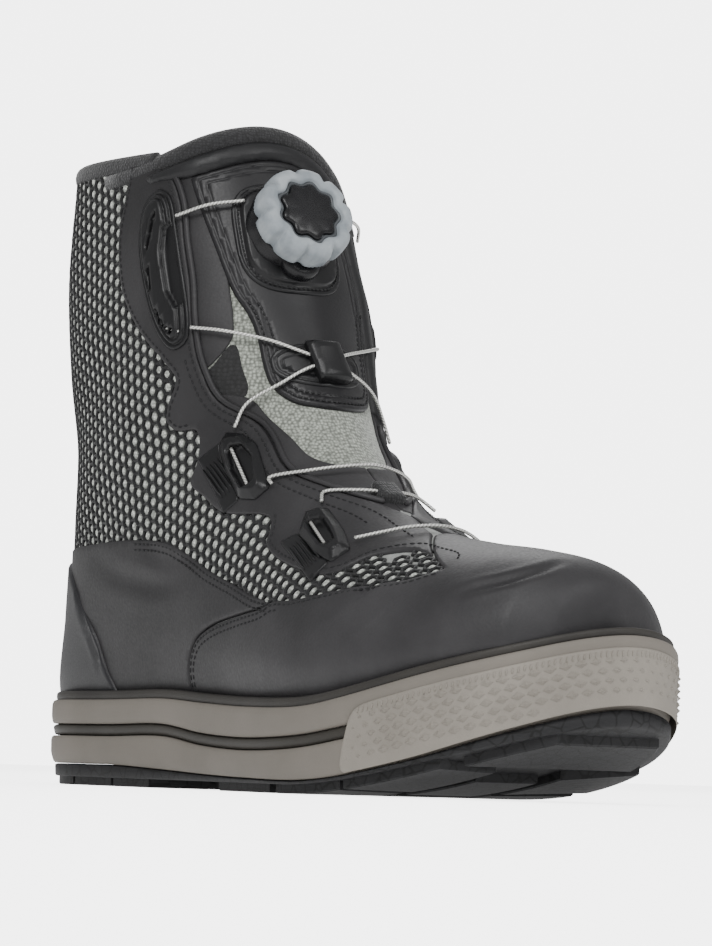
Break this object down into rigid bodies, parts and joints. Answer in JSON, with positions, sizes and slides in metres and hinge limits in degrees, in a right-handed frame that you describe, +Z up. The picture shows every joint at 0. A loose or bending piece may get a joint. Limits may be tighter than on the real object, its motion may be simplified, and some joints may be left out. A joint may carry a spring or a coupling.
{
  "type": "wading boot",
  "caption": "Mid-height right wading boot with a dial and cable closure, mesh sides, moulded toe and heel and a lugged rubber sole.",
  "frame": {"origin": "on the floor, under the middle of the sole's outline", "axes": "+X heel to toe, +Y to the inner side of the foot, +Z up"},
  "size_m": [0.316, 0.1158, 0.252],
  "materials": {
    "mesh_fabric": "light grey knit under a black hexagonal net",
    "synthetic": "charcoal coated synthetic leather, matt, with lighter scuff film low down",
    "moulded_heel": "dark grey moulded heel cap, satin",
    "knit": "heather grey-green knit with dark pin dots",
    "tongue_synthetic": "smooth black synthetic, satin",
    "dial_housing": "black moulded plastic",
    "dial_ring": "light blue-grey rubber with grip notches",
    "guide_plastic": "black moulded guides with ridges",
    "webbing": "black woven webbing",
    "cable": "stranded steel cable, silver-white",
    "footbed": "dark textile footbed",
    "welt_strip": "dark olive rubber strip",
    "sole_foam": "taupe grey foam, matt",
    "stripe": "dark olive stripe",
    "bumper_rubber": "grey rubber with a fading raised pattern",
    "tread_rubber": "black rubber, siped lugs"
  },
  "bodies": {
    "root": {"upper": "mesh_fabric", "toe_rand": "synthetic", "heel_panel": "synthetic", "heel_counter": "moulded_heel", "backstay": "synthetic", "eyestay_lateral": "synthetic", "eyestay_medial": "synthetic", "tongue": "knit", "tongue_panel": "tongue_synthetic", "dial_base": "dial_housing", "dial_knob": "dial_ring", "dial_cap": "dial_housing", "guide_upper_lateral": "guide_plastic", "guide_mid_lateral": "guide_plastic", "guide_low_lateral": "guide_plastic", "guide_upper_medial": "guide_plastic", "guide_mid_medial": "guide_plastic", "guide_low_medial": "guide_plastic", "keeper": "guide_plastic", "tongue_loop": "webbing", "lace_dial_lateral": "cable", "lace_dial_medial": "cable", "lace_cross": "cable", "lace_bar_mid": "cable", "lace_bar_loop": "cable", "lace_bar_low": "cable", "pull_loop": "webbing", "insole": "footbed", "welt": "welt_strip", "midsole": "sole_foam", "sole_stripe": "stripe", "outsole_frame": "sole_foam", "toe_bumper": "bumper_rubber", "tread": "tread_rubber"}
  },
  "joints": []
}
